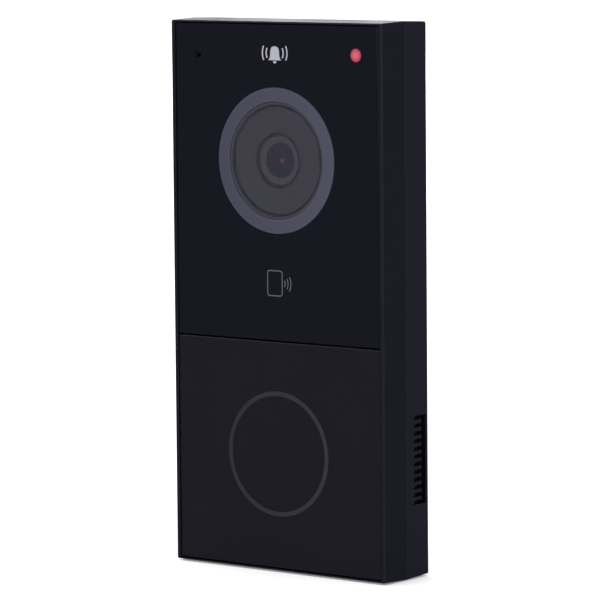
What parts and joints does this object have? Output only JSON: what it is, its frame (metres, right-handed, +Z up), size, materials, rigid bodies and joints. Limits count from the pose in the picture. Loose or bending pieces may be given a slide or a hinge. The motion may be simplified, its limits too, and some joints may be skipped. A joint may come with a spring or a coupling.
{
  "type": "video doorbell",
  "caption": "Slim wall-mounted video doorbell with a camera and light ring above a large lit push panel, a side speaker grille and a wall bracket.",
  "frame": {"origin": "centre of the wall bracket's back face, on the wall", "axes": "+X to the right as a visitor sees it, +Y into the wall, +Z up; the front face is at Y = -20 mm"},
  "size_m": [0.0724, 0.02, 0.15],
  "materials": {
    "housing": "fine moulded grain, satin",
    "rear_housing": "fine moulded grain, satin",
    "gloss_panel": "piano-black gloss",
    "call_panel": "satin",
    "light_guide": "frosted translucent",
    "diffuser": "smoked translucent",
    "clear_window": "clear, coated",
    "bezel": "satin grey",
    "lens_black": "anodised black",
    "lens_glass": "coated lens",
    "filter_glass": "dichroic",
    "silicone": "translucent silicone",
    "black_rubber": "matt",
    "board": "solder mask",
    "chip": "moulded",
    "shield": "tinned",
    "can": "sleeveless can",
    "copper": "plated track",
    "ferrite": "sintered sheet",
    "film": "printed film",
    "led": "diode case",
    "status_lens": "translucent",
    "zinc": "zinc plated",
    "black_steel": "black passivated",
    "bracket": "black powder coat",
    "tape": "foam tape",
    "green_terminal": "moulded",
    "switch_black": "moulded",
    "cone": "pulp and film cone",
    "mesh": "woven cloth",
    "polyimide": "film"
  },
  "bodies": {
    "unit": {"board_capacitors": "can", "board_chips": "chip", "board_leds": "led", "bracket_lock_screw": "black_steel", "cable_gland": "black_rubber", "call_bumpers": "black_rubber", "call_membrane": "silicone", "call_switch": "switch_black", "camera_bezel": "bezel", "camera_board": "board", "camera_flex": "polyimide", "camera_screws": "zinc", "camera_standoffs": "zinc", "camera_window": "clear_window", "case_screws": "black_steel", "cover_screws": "zinc", "ferrite_sheet": "ferrite", "fill_leds": "led", "front_housing": "housing", "housing_seal": "black_rubber", "image_sensor": "chip", "infrared_filter": "filter_glass", "lens_barrel": "lens_black", "lens_front_element": "lens_glass", "lens_holder": "lens_black", "lens_inner_elements": "lens_glass", "light_board": "board", "light_diffuser": "diffuser", "main_board": "board", "main_board_screws": "zinc", "membrane_retainer": "zinc", "microphone": "can", "microphone_boot": "black_rubber", "panel_tape": "tape", "radio_shield": "shield", "reader_antenna_board": "film", "reader_antenna_coil": "copper", "rear_housing": "rear_housing", "reset_switch": "switch_black", "small_screws": "zinc", "speaker_frame": "switch_black", "speaker_gasket": "black_rubber", "speaker_magnet": "zinc", "speaker_mesh": "mesh", "speaker_surround": "black_rubber", "status_light_pipe": "status_lens", "tamper_switch": "switch_black", "terminal_block": "green_terminal", "terminal_cover": "housing", "terminal_screws": "zinc", "upper_panel": "gloss_panel", "wall_bracket": "bracket", "wireless_antenna": "polyimide"},
    "call_button": {"call_panel": "call_panel", "call_light_ring": "light_guide"},
    "switch_plunger": {"call_switch_plunger": "switch_black"},
    "cone": {"speaker_cone": "cone", "voice_coil": "copper"},
    "tamper_pin": {"tamper_plunger": "switch_black"},
    "reset_pin": {"reset_plunger": "switch_black"}
  },
  "joints": [
    {"name": "call_press", "type": "slide", "parent": "unit", "child": "call_button", "axis": [0, 1, 0], "range_m": [0, 0.0006], "stiffness_N_per_m": 3000, "deforming": ["call_membrane", "call_bumpers"]},
    {"name": "call_switch_press", "type": "slide", "parent": "unit", "child": "switch_plunger", "axis": [0, 1, 0], "range_m": [0, 0.0006]},
    {"name": "speaker_cone_travel", "type": "slide", "parent": "unit", "child": "cone", "axis": [1, 0, 0], "range_m": [-0.0004, 0.0004], "stiffness_N_per_m": 600},
    {"name": "tamper_release", "type": "slide", "parent": "unit", "child": "tamper_pin", "axis": [0, 1, 0], "range_m": [0, 0.0015], "stiffness_N_per_m": 100, "springref_m": 0.002},
    {"name": "reset_press", "type": "slide", "parent": "unit", "child": "reset_pin", "axis": [0, -1, 0], "range_m": [0, 0.0003], "stiffness_N_per_m": 300}
  ],
  "couplings": [
    {"joint": "call_switch_press", "follows": "call_press", "ratio": 1}
  ]
}
